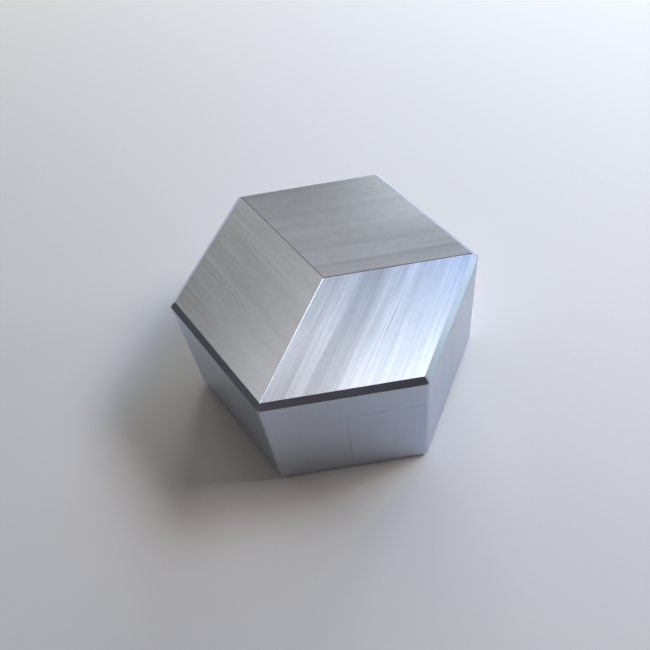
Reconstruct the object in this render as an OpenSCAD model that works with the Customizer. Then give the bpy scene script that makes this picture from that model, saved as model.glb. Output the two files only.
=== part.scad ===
// Hexagonal air-cushion fidget.
// A sleeve of three rhombic blocks slides on a star-shaped core. Closed, the two make a
// solid hexagonal prism as tall as its own sides. Millimetres, +Z up. The origin is the
// middle of the underside, one corner of the hexagon is on +X and a face looks to -Y.

/* [Prism] */
// Side of the hexagon, and edge of each rhombic block
side = 25; // [24:1:40]
// Height of the closed prism
height = 25; // [22:1:40]
// Chamfer along the top and bottom edges
chamfer = 0.9; // [0.4:0.1:1.2]
// Radius of the six upright corners
corner_radius = 0.8; // [0.2:0.1:1.2]

/* [Sleeve] */
// Thickness of each block above its slot
cap_thickness = 6.75; // [6.5:0.25:8]
// Clearance between the sleeve and the core, on each wall
fit_gap = 0.03; // [0.01:0.01:0.1]
// Edge break along the three joints on top
joint_bevel = 0.08; // [0.04:0.02:0.2]

/* [Tie disc] */
// Diameter of the disc that holds the three blocks together
disc_diameter = 18; // [17:0.5:19]
// Thickness of the disc
disc_thickness = 2; // [1.8:0.1:2.2]
// Height of the disc's underside above the roof of the slot
disc_inset = 0.2; // [0.1:0.05:0.4]
// Diameter of the circle that the six screws lie on
screw_circle = 12; // [11:0.5:12.5]

/* [Screws and dowels] */
// Thread diameter of a tie screw
screw_diameter = 2; // [1.6:0.1:2]
// Whole length of a tie screw
screw_length = 4.8; // [4:0.1:5]
// Diameter of a tie screw's countersunk head
head_diameter = 3.8; // [3.4:0.1:3.8]
// Size of the hexagon socket across its flats
socket_size = 1.3; // [1.2:0.1:1.5]
// Diameter of a joint dowel
dowel_diameter = 2; // [1.5:0.5:2.5]
// Length of a joint dowel
dowel_length = 8; // [6:1:10]

/* [Hidden] */
$fn = 96;
// The outer corners of the front, rear and left block lie at -60, 60 and 180 degrees.
BLOCK_NAMES = ["front", "rear", "left"];
BLOCK_ANGLES = [-60, 60, 180];
SCREW_COUNT = 6;

apothem = side * cos(30);
slot_width = side * sin(60) + 2 * fit_gap;
core_height = height - cap_thickness;
screw_bottom = core_height + disc_inset;
disc_top = screw_bottom + disc_thickness;
head_height = (head_diameter - screw_diameter) / 2;
socket_depth = 0.7;
point_chamfer = 0.3;
dowel_end_chamfer = 0.3;
screw_tip_clearance = 0.2;
// How far a cutting shape runs past what it cuts.
over = 1;

// Where a joint's two dowels cross it: distance from the centre, and height.
UPPER_DOWEL = [side * 0.62, (height + core_height) / 2];
LOWER_DOWEL = [side * 0.75, core_height * 0.35];

// The sharp triangle that a rounded upright corner loses, on the corner at +X.
module corner_waste() {
    centre = side - corner_radius / cos(30);
    difference() {
        polygon([
            [side + over, 0],
            [centre + corner_radius * cos(30), corner_radius * sin(30)],
            [centre, 0],
            [centre + corner_radius * cos(30), -corner_radius * sin(30)]
        ]);
        translate([centre, 0]) circle(r = corner_radius);
    }
}

// Rounds the corner at +X, and chamfers the edges of its two faces at the given levels.
module prism_edges(levels) {
    for (level = levels, turn = [-30, 30]) rotate(turn) translate([apothem, 0, level])
        rotate([0, 45, 0])
            cube([chamfer * sqrt(2), side * 2, chamfer * sqrt(2)], center = true);
    translate([0, 0, -over]) linear_extrude(height + 2 * over) corner_waste();
}

// Outline of one block, with its outer corner on +X.
module rhombus() {
    half_side = side * cos(60);
    polygon([[0, 0], [half_side, -apothem], [side, 0], [half_side, apothem]]);
}

// Puts a shape on the axis of a dowel that crosses the joint along +X.
module at_dowel(place) {
    translate([place[0], 0, place[1]]) rotate([90, 0, 0]) children();
}

// What is cut from a block at its joint along +X: dowel holes, edge break and corner.
module joint_cuts() {
    for (place = [UPPER_DOWEL, LOWER_DOWEL]) at_dowel(place)
        cylinder(d = dowel_diameter, h = dowel_length + 2 * over, center = true);
    translate([side / 2, 0, height]) rotate([45, 0, 0])
        cube([side + 2 * over, joint_bevel * sqrt(2), joint_bevel * sqrt(2)], center = true);
    prism_edges([]);
}

module sleeve_block(angle) {
    color("silver") rotate(angle) difference() {
        linear_extrude(height) rhombus();
        prism_edges([0, height]);
        for (turn = [-60, 60]) rotate(turn) joint_cuts();
        // slot for one arm of the core
        translate([-over, -slot_width / 2, -over])
            cube([side + 2 * over, slot_width, core_height + over]);
        // pocket for the tie disc
        cylinder(d = disc_diameter, h = disc_top);
        // tapped holes
        for (turn = [-30, 30]) rotate(turn) translate([screw_circle / 2, 0, 0])
            cylinder(d = screw_diameter, h = screw_bottom + screw_length + screw_tip_clearance);
    }
}

module core() {
    color("lightsteelblue") difference() {
        linear_extrude(core_height - fit_gap) difference() {
            circle(r = side, $fn = 6);
            // three notches at the corners between the arms
            for (angle = BLOCK_ANGLES) rotate(angle + 60) translate([side / 2, 0]) rhombus();
        }
        for (angle = BLOCK_ANGLES) rotate(angle) prism_edges([0]);
    }
}

module tie_disc() {
    color("darkgray") translate([0, 0, screw_bottom]) difference() {
        cylinder(d = disc_diameter, h = disc_thickness);
        for (k = [1 : SCREW_COUNT]) rotate(60 * k - 30) translate([screw_circle / 2, 0, 0]) {
            translate([0, 0, -over]) cylinder(d = screw_diameter, h = disc_thickness + 2 * over);
            cylinder(d1 = head_diameter, d2 = screw_diameter, h = head_height);
        }
    }
}

module tie_screw(k) {
    color("dimgray") rotate(60 * k - 30) translate([screw_circle / 2, 0, screw_bottom])
        difference() {
            rotate_extrude() polygon([
                [0, 0],
                [head_diameter / 2, 0],
                [screw_diameter / 2, head_height],
                [screw_diameter / 2, screw_length - point_chamfer],
                [screw_diameter / 2 - point_chamfer, screw_length],
                [0, screw_length]
            ]);
            translate([0, 0, -over])
                cylinder(d = socket_size / cos(30), h = socket_depth + over, $fn = 6);
        }
}

// A dowel across the joint on the left of the block at the given angle.
module joint_dowel(angle, place) {
    tip = dowel_diameter / 2 - dowel_end_chamfer;
    half_length = dowel_length / 2;
    color("lightgray") rotate(angle + 60) at_dowel(place) rotate_extrude() polygon([
        [0, -half_length],
        [tip, -half_length],
        [dowel_diameter / 2, dowel_end_chamfer - half_length],
        [dowel_diameter / 2, half_length - dowel_end_chamfer],
        [tip, half_length],
        [0, half_length]
    ]);
}

for (k = [0 : len(BLOCK_NAMES) - 1]) {
    name = BLOCK_NAMES[k];
    sleeve_block(BLOCK_ANGLES[k]);
    joint_dowel(BLOCK_ANGLES[k], UPPER_DOWEL);
    joint_dowel(BLOCK_ANGLES[k], LOWER_DOWEL);
}
core();
tie_disc();
for (k = [1 : SCREW_COUNT]) {
    tie_screw(k);
}
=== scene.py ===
"""Looks of the hexagonal air-cushion fidget: bare aluminium on a pale studio floor.

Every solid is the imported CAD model's own. This script breaks the edges of the aluminium ones
with modifiers and gives each solid a procedural metal: three blocks ground with a straight
grain on top, satin on their sides and on the core, and the steel hardware inside the sleeve.
Lengths come from the prism's own side.
"""

import math

import bpy
from mathutils import Matrix, Vector


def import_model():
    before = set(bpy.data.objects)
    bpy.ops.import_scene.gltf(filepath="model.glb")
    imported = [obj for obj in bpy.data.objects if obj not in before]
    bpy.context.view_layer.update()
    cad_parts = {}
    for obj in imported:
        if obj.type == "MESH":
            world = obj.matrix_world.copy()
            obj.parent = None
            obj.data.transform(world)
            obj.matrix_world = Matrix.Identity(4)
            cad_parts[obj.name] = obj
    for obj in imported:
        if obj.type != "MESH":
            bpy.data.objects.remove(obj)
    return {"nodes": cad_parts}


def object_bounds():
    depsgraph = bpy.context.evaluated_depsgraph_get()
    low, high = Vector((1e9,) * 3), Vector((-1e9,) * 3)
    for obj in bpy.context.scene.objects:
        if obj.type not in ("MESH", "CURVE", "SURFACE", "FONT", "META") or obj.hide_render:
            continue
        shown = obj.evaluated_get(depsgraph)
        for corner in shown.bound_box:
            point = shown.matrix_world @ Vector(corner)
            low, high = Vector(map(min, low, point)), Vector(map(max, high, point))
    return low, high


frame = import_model()
cad_low, cad_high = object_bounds()

# The prism is as tall as its hexagon's side is long.
SIDE = cad_high.z - cad_low.z
# How wide a rhombic block is between two opposite edges of its top, in sides.
BLOCK_WIDTH = math.sin(math.radians(60))
EDGE_BREAK = SIDE * 0.002
# Edges that turn by more degrees than this are broken.
SHARP_ANGLE = 25
# Vertices closer than this, in metres, are one.
SAME_PLACE = 1e-6

# The ground finish fades in between these two values of the normal's upward part, and of the
# height in sides. So a chamfer turns too far to have it, and a face inside a block lies too low.
TOP_FACING = (0.90, 0.97)
TOP_HEIGHT = (0.985, 0.99)

# Base colours, in linear light.
# The side faces and the core are painted darker and bluer than the ground tops: painted shade,
# with a painted blue reflection, on the same aluminium.
SIDE_FACE_PAINTED_SHADE_COLOUR = (0.54, 0.59, 0.685)
CORE_PAINTED_SHADE_COLOUR = (0.52, 0.57, 0.67)
DISC_COLOUR = (0.56, 0.56, 0.57)
SCREW_COLOUR = (0.20, 0.20, 0.21)
DOWEL_COLOUR = (0.62, 0.62, 0.64)
FLOOR_COLOUR = (0.76, 0.735, 0.695)
WORLD_COLOUR = (0.055, 0.055, 0.055)

# The ground tops of the three blocks:
# - corner: the angle of the block's outer corner; the grain runs 60 degrees clockwise of it,
#   along a joint
# - colour: the bare metal's colour, with a painted reflection tint that differs between the
#   blocks: bluer on the rear one and warmer on the left one
# - contrast: how strongly single scratches show
# - far_end_painted_light: painted light at the far end of the block, next to that joint and away
#   from it:
#   painted shade below 1.0, a painted highlight above it, where 1.0 is no change
# - passes: how bright each pass of the wheel left the top, as pairs of the distance from that
#   joint, out of the block's whole width, and the brightness there; the stops were chosen from a
#   brightness profile measured across the bands of the real top
BLOCKS = {
    "sleeve_block_front": {
        "corner": -60,
        "colour": (0.86, 0.87, 0.89),
        "contrast": 1.3,
        "far_end_painted_light": (0.79, 1.13),
        "passes": (
            (0.0, 0.90), (0.075, 0.89), (0.09, 0.84), (0.13, 0.84), (0.145, 0.93), (0.19, 0.98),
            (0.237, 0.96), (0.25, 0.79), (0.31, 0.74), (0.37, 0.73), (0.436, 0.76), (0.452, 0.91),
            (0.54, 0.92), (0.60, 0.96), (0.66, 0.92), (1.0, 0.91),
        ),
    },
    "sleeve_block_rear": {
        "corner": 60,
        # the rear block's bluer tint is a painted reflection
        "colour": (0.895, 0.915, 0.95),
        "contrast": 0.9,
        "far_end_painted_light": (0.80, 1.0),
        "passes": (
            (0.0, 0.94), (0.07, 0.93), (0.11, 0.84), (0.14, 0.98), (0.22, 0.97), (0.27, 0.91),
            (0.32, 0.94), (0.43, 0.95), (0.47, 1.0), (0.55, 0.96), (0.90, 0.94), (1.0, 0.86),
        ),
    },
    "sleeve_block_left": {
        "corner": 180,
        # the left block's warmer tint is a painted reflection
        "colour": (0.88, 0.87, 0.85),
        "contrast": 0.45,
        "far_end_painted_light": (1.0, 1.0),
        "passes": (
            (0.0, 0.92), (0.06, 0.93), (0.11, 0.90), (0.19, 0.97), (0.26, 0.91), (0.50, 0.91),
            (0.74, 0.93), (0.79, 0.98), (0.83, 0.93), (1.0, 0.92),
        ),
    },
}

# The studio's lengths and places are in sides and its angles in degrees. Only the camera's lens
# and sensor are in millimetres.
FLOOR_REACH = 60
FLOOR_GAP = 0.001
SOFTBOX_DISTANCE = 14
# Each softbox: azimuth, elevation, width, height, power, colour. An azimuth counts from +X to +Y.
# Several began as a least-squares fit to the brightness of each face. All were then adjusted.
SOFTBOXES = {
    "high_right": (20, 50, 4, 4, 690, (0.62, 0.79, 0.98)),
    "front_right": (0, 50, 4, 4, 600, (1.0, 0.86, 0.88)),
    "blue_right": (40, 40, 4, 4, 243, (0.06, 0.28, 1.0)),
    "low_right": (5, 18, 4, 2.5, 250, (0.80, 0.97, 1.0)),
    "warm_front": (-105, 30, 3, 3, 6, (1.0, 0.36, 0.50)),
    "overhead_back": (100, 65, 4, 4, 76, (0.95, 0.95, 1.0)),
    "strip_back_right": (65, 12, 10, 4, 1400, (0.89, 0.95, 1.0)),
    "strip_back_left": (120, 12, 10, 4, 440, (1.0, 0.97, 0.93)),
    "panel_front_right": (-40, 25, 8, 6, 50, (0.95, 0.97, 1.0)),
    "panel_right": (18, 34, 8, 6, 60, (0.97, 0.98, 1.0)),
    "panel_front_left": (-142, 25, 8, 6, 50, (1.0, 0.98, 0.95)),
    "panel_back_left": (148, 28, 6, 6, 40, (1.0, 0.98, 0.95)),
}
# The camera was fitted to the prism's outline and edges, and its numbers rounded.
CAMERA_PLACE = (-0.011, -2.996, 4.777)
CAMERA_AIM = (-0.042, -0.015, 0.5)
CAMERA_ROLL = -9.8
CAMERA_LENS = 41.9
CAMERA_SENSOR = 36
CAMERA_NEAR = 0.05
CAMERA_FAR = 200


# ---------------------------------------------------------------- node helpers

class Nodes:
    """A material's node tree, with one short call for each kind of node."""

    def __init__(self, name):
        self.material = bpy.data.materials.new(name)
        self.material.use_nodes = True
        self.tree = self.material.node_tree
        self.tree.nodes.clear()
        self.coords = self.add("ShaderNodeTexCoord").outputs

    def add(self, kind, **settings):
        node = self.tree.nodes.new(kind)
        for key, value in settings.items():
            setattr(node, key, value)
        return node

    def put(self, socket, value):
        """Links a node's output to a socket, or sets the socket to a plain value."""
        if isinstance(value, bpy.types.NodeSocket):
            self.tree.links.new(value, socket)
        else:
            socket.default_value = value

    def math(self, operation, a, b=0.0):
        node = self.add("ShaderNodeMath", operation=operation)
        self.put(node.inputs[0], a)
        self.put(node.inputs[1], b)
        return node.outputs[0]

    def vector(self, operation, a, b):
        node = self.add("ShaderNodeVectorMath", operation=operation)
        self.put(node.inputs[0], a)
        self.put(node.inputs[1], b)
        return node.outputs["Value" if operation == "DOT_PRODUCT" else "Vector"]

    def place(self):
        """The shaded point's place, in sides of the prism."""
        return self.vector("MULTIPLY", self.coords["Object"], (1 / SIDE,) * 3)

    def along(self, direction):
        """How far the shaded point lies along a direction, in sides of the prism."""
        unit = Vector(direction).normalized() / SIDE
        return self.vector("DOT_PRODUCT", self.coords["Object"], tuple(unit))

    def join(self, x, y, z):
        node = self.add("ShaderNodeCombineXYZ")
        for socket, value in zip(node.inputs, (x, y, z)):
            self.put(socket, value)
        return node.outputs[0]

    def noise(self, vector, scale, detail, roughness):
        node = self.add("ShaderNodeTexNoise")
        self.put(node.inputs["Vector"], vector)
        node.inputs["Scale"].default_value = scale
        node.inputs["Detail"].default_value = detail
        node.inputs["Roughness"].default_value = roughness
        return node.outputs["Fac"]

    def remap(self, value, low, high, to_low, to_high, smooth=False):
        kind = "SMOOTHSTEP" if smooth else "LINEAR"
        node = self.add("ShaderNodeMapRange", interpolation_type=kind)
        self.put(node.inputs["Value"], value)
        node.inputs["From Min"].default_value = low
        node.inputs["From Max"].default_value = high
        node.inputs["To Min"].default_value = to_low
        node.inputs["To Max"].default_value = to_high
        return node.outputs[0]

    def spread(self, noise, to_low, to_high, reach=0.2):
        """Spreads noise, which lies mostly within reach of a half, from to_low to to_high."""
        return self.remap(noise, 0.5 - reach, 0.5 + reach, to_low, to_high)

    def ramp(self, value, levels):
        """Follows straight lines between (place, level) pairs, from place 0 to place 1."""
        node = self.add("ShaderNodeValToRGB")
        self.put(node.inputs["Fac"], value)
        stops = node.color_ramp.elements
        for place, _ in levels[1:-1]:
            stops.new(place)
        for stop, (place, level) in zip(stops, levels):
            stop.position = place
            stop.color = (level, level, level, 1)
        return node.outputs["Color"]

    def shaded(self, colour, shade):
        """A colour times a grey shade."""
        node = self.add("ShaderNodeMix", data_type="RGBA", blend_type="MULTIPLY")
        node.inputs["Factor"].default_value = 1.0
        # the colour sockets go by number, because the number and vector ones share their names
        node.inputs[6].default_value = (*colour, 1.0)
        self.put(node.inputs[7], self.join(shade, shade, shade))
        return node.outputs[2]

    def bump(self, height, strength, depth):
        node = self.add("ShaderNodeBump")
        node.inputs["Strength"].default_value = strength
        node.inputs["Distance"].default_value = depth
        self.put(node.inputs["Height"], height)
        return node.outputs["Normal"]

    def metal(self, colour, roughness, normal, anisotropy=0.0, tangent=None):
        shader = self.add("ShaderNodeBsdfPrincipled")
        self.put(shader.inputs["Base Color"], colour)
        shader.inputs["Metallic"].default_value = 1.0
        self.put(shader.inputs["Roughness"], roughness)
        self.put(shader.inputs["Normal"], normal)
        shader.inputs["Anisotropic"].default_value = anisotropy
        if tangent is not None:
            self.put(shader.inputs["Tangent"], tangent)
        return shader.outputs[0]

    def finish(self, shader):
        out = self.add("ShaderNodeOutputMaterial")
        self.put(out.inputs["Surface"], shader)
        return self.material


# ---------------------------------------------------------------- metals

def satin(nodes, colour):
    """Fine lapped aluminium: cloudy, with a trace of upright drawing marks."""
    place = nodes.place()
    cloud = nodes.noise(place, scale=3.0, detail=4.0, roughness=0.55)
    drawn_out = nodes.vector("MULTIPLY", place, (90.0, 90.0, 1.5))
    marks = nodes.noise(drawn_out, scale=1.0, detail=2.0, roughness=0.55)
    roughness = nodes.math(
        "ADD",
        nodes.spread(cloud, 0.30, 0.36),
        nodes.spread(marks, -0.015, 0.015),
    )
    shade = nodes.math(
        "MULTIPLY",
        nodes.spread(cloud, 0.93, 1.0, reach=0.25),
        nodes.spread(marks, 0.97, 1.01),
    )
    normal = nodes.bump(marks, strength=0.1, depth=SIDE * 0.0003)
    return nodes.metal(nodes.shaded(colour, shade), roughness, normal)


def ground(nodes, grain_angle, colour, contrast, far_end_painted_light, passes):
    """A block's top, ground with a straight grain along one joint.

    BLOCKS says what the last four are. Within the top, across_block runs from 0 at that joint
    to 1 at the opposite edge, and along_block from 0 at the other joint to 1 at the far end.
    """
    turn = math.radians(grain_angle)
    grain = (math.cos(turn), math.sin(turn), 0)
    across = (-math.sin(turn), math.cos(turn), 0)
    with_grain, cross_grain = nodes.along(grain), nodes.along(across)
    across_block = nodes.math("DIVIDE", cross_grain, BLOCK_WIDTH)
    slant = nodes.math("MULTIPLY", across_block, 0.5)
    along_block = nodes.math("ADD", with_grain, slant)

    def streaks(width, length, seed):
        """Noise drawn out along the grain. The width and length are in sides."""
        drawn_out = nodes.join(
            nodes.math("MULTIPLY", with_grain, 1 / length),
            nodes.math("MULTIPLY", cross_grain, 1 / width),
            seed,
        )
        return nodes.noise(drawn_out, scale=1.0, detail=2.0, roughness=0.6)

    hair = streaks(0.005, 0.4, seed=0.0)
    fine = streaks(0.016, 1.2, seed=3.0)
    broad = streaks(0.06, 3.0, seed=7.0)
    cloud = nodes.noise(nodes.place(), scale=22.0, detail=3.0, roughness=0.6)
    scratches = nodes.math("MULTIPLY", nodes.math("ADD", hair, fine), 0.5)

    broad_change = 0.035 * contrast
    shade = nodes.math(
        "ADD",
        nodes.ramp(across_block, passes),
        nodes.spread(broad, -broad_change, broad_change),
    )
    # painted light: the far end of the block is painted darker or brighter, next to that joint
    # and away from it, as painted shade and a painted highlight
    painted_light_at_end = nodes.remap(along_block, 0.45, 1.0, 0.0, 1.0, smooth=True)
    change = nodes.remap(across_block, 0.12, 0.6, far_end_painted_light[0] - 1, far_end_painted_light[1] - 1, smooth=True)
    for factor in (
        nodes.math("ADD", 1.0, nodes.math("MULTIPLY", painted_light_at_end, change)),
        nodes.spread(scratches, 1 - 0.10 * contrast, 1 + 0.05 * contrast, reach=0.15),
        nodes.spread(cloud, 0.965, 1.02),
    ):
        shade = nodes.math("MULTIPLY", shade, factor)
    roughness = nodes.spread(scratches, 0.32, 0.40)
    normal = nodes.bump(scratches, strength=0.3 * contrast, depth=SIDE * 0.0005)
    # the highlight is drawn out across the grain, as on real ground metal
    return nodes.metal(
        nodes.shaded(colour, shade),
        roughness,
        normal,
        anisotropy=0.75,
        tangent=nodes.join(*across),
    )


def block_metal(name, corner, **top_facts):
    """One block's metal: its ground top, and satin everywhere else."""
    nodes = Nodes(name)
    top = ground(nodes, corner - 60, **top_facts)
    # the sides take painted shade: a darker, bluer colour than the top
    sides = satin(nodes, SIDE_FACE_PAINTED_SHADE_COLOUR)
    up = nodes.vector("DOT_PRODUCT", nodes.coords["Normal"], (0, 0, 1))
    height = nodes.along((0, 0, 1))
    is_top = nodes.math(
        "MULTIPLY",
        nodes.remap(up, *TOP_FACING, 0.0, 1.0),
        nodes.remap(height, *TOP_HEIGHT, 0.0, 1.0),
    )
    blend = nodes.add("ShaderNodeMixShader")
    for socket, value in zip(blend.inputs, (is_top, sides, top)):
        nodes.put(socket, value)
    return nodes.finish(blend.outputs[0])


def core_metal():
    nodes = Nodes("core_aluminium")
    # the core takes the same painted shade as the blocks' sides
    return nodes.finish(satin(nodes, CORE_PAINTED_SHADE_COLOUR))


def turned_steel(name, colour):
    """Face-turned steel: fine rings round the axis."""
    nodes = Nodes(name)
    x, y = nodes.along((1, 0, 0)), nodes.along((0, 1, 0))
    squares = nodes.math("ADD", nodes.math("MULTIPLY", x, x), nodes.math("MULTIPLY", y, y))
    radius = nodes.math("SQRT", squares)
    outward = nodes.join(radius, 0.0, 0.0)
    ring = nodes.noise(outward, scale=240.0, detail=2.0, roughness=0.5)
    tint = nodes.shaded(colour, nodes.spread(ring, 0.9, 1.0))
    normal = nodes.bump(ring, strength=0.3, depth=SIDE * 0.0008)
    return nodes.finish(nodes.metal(tint, nodes.spread(ring, 0.29, 0.42), normal))


def hardware_steel(name, colour, low, high):
    """Screw and dowel steel: fine speckle, and roughness from low to high."""
    nodes = Nodes(name)
    speck = nodes.noise(nodes.place(), scale=90.0, detail=3.0, roughness=0.6)
    tint = nodes.shaded(colour, nodes.spread(speck, 0.85, 1.0))
    normal = nodes.bump(speck, strength=0.1, depth=SIDE * 0.0006)
    return nodes.finish(nodes.metal(tint, nodes.spread(speck, low, high), normal))


# ---------------------------------------------------------------- object

def coat(node, material):
    """Gives a CAD node its metal, and returns the node's object."""
    piece = frame["nodes"][node]
    for slot in piece.material_slots:
        slot.material = material
    return piece


def break_edges(piece):
    """Breaks a piece's sharp edges with modifiers, and keeps its flat faces flat."""
    weld = piece.modifiers.new("weld", "WELD")
    weld.merge_threshold = SAME_PLACE
    bevel = piece.modifiers.new("edge_break", "BEVEL")
    bevel.width = EDGE_BREAK
    bevel.segments = 2
    bevel.limit_method = "ANGLE"
    bevel.angle_limit = math.radians(SHARP_ANGLE)
    bevel.use_clamp_overlap = True
    bevel.harden_normals = False
    normals = piece.modifiers.new("flat_faces", "WEIGHTED_NORMAL")
    normals.keep_sharp = False
    normals.weight = 100


def aluminium():
    for node, facts in BLOCKS.items():
        break_edges(coat(node, block_metal(node + "_aluminium", **facts)))
    break_edges(coat("core", core_metal()))


def hardware():
    """The steel inside the sleeve. A node takes the metal whose key its name holds."""
    metals = {
        "tie_disc": turned_steel("tie_disc_steel", DISC_COLOUR),
        "tie_screw": hardware_steel("tie_screw_steel", SCREW_COLOUR, 0.3, 0.5),
        "dowel": hardware_steel("dowel_steel", DOWEL_COLOUR, 0.12, 0.25),
    }
    for node in frame["nodes"]:
        for key, metal in metals.items():
            if key in node:
                coat(node, metal)


# ---------------------------------------------------------------- studio

def floor():
    """A square of matt paper, just under the object so that the two never share a plane."""
    mesh = bpy.data.meshes.new("studio_floor")
    reach = FLOOR_REACH * SIDE
    corners = [(-reach, -reach, 0), (reach, -reach, 0), (reach, reach, 0), (-reach, reach, 0)]
    mesh.from_pydata(corners, [], [(0, 1, 2, 3)])
    piece = bpy.data.objects.new("studio_floor", mesh)
    bpy.context.scene.collection.objects.link(piece)
    piece.location.z = -FLOOR_GAP * SIDE
    nodes = Nodes("studio_floor_paper")
    shader = nodes.add("ShaderNodeBsdfPrincipled")
    shader.inputs["Base Color"].default_value = (*FLOOR_COLOUR, 1)
    shader.inputs["Roughness"].default_value = 0.85
    shader.inputs["Specular IOR Level"].default_value = 0.15
    mesh.materials.append(nodes.finish(shader.outputs[0]))


def softbox(name, azimuth, elevation, width, height, power, colour):
    """An area light that faces the object and stays out of the camera's sight.

    Its power is multiplied by the side squared, so a prism of any size is lit the same.
    """
    lamp = bpy.data.lights.new(name, "AREA")
    lamp.shape = "RECTANGLE"
    lamp.size = width * SIDE
    lamp.size_y = height * SIDE
    lamp.energy = power * SIDE * SIDE
    lamp.color = colour
    piece = bpy.data.objects.new(name, lamp)
    turn, lift = math.radians(azimuth), math.radians(elevation)
    level = math.cos(lift)
    towards = Vector((math.cos(turn) * level, math.sin(turn) * level, math.sin(lift)))
    piece.location = Vector((0, 0, SIDE)) + towards * SOFTBOX_DISTANCE * SIDE
    piece.rotation_mode = "QUATERNION"
    piece.rotation_quaternion = towards.to_track_quat("Z", "Y")
    piece.visible_camera = False
    bpy.context.scene.collection.objects.link(piece)


def world():
    """A dim, even studio: the softboxes do the lighting."""
    studio = bpy.data.worlds.new("studio")
    bpy.context.scene.world = studio
    studio.use_nodes = True
    background = studio.node_tree.nodes["Background"]
    background.inputs["Color"].default_value = (*WORLD_COLOUR, 1)


def camera():
    """Above and in front of the prism, and rolled clockwise a little."""
    place = Vector(CAMERA_PLACE) * SIDE
    aim = Vector(CAMERA_AIM) * SIDE
    data = bpy.data.cameras.new("camera")
    data.sensor_width = CAMERA_SENSOR
    data.lens = CAMERA_LENS
    data.clip_start = CAMERA_NEAR * SIDE
    data.clip_end = CAMERA_FAR * SIDE
    piece = bpy.data.objects.new("camera", data)
    turn = (aim - place).to_track_quat("-Z", "Y").to_matrix()
    roll = Matrix.Rotation(math.radians(CAMERA_ROLL), 3, "Z")
    piece.matrix_world = Matrix.Translation(place) @ (turn @ roll).to_4x4()
    bpy.context.scene.collection.objects.link(piece)
    bpy.context.scene.camera = piece


aluminium()
hardware()
floor()
for name, facts in SOFTBOXES.items():
    softbox(name, *facts)
world()
camera()

bpy.context.scene.view_settings.view_transform = "Standard"
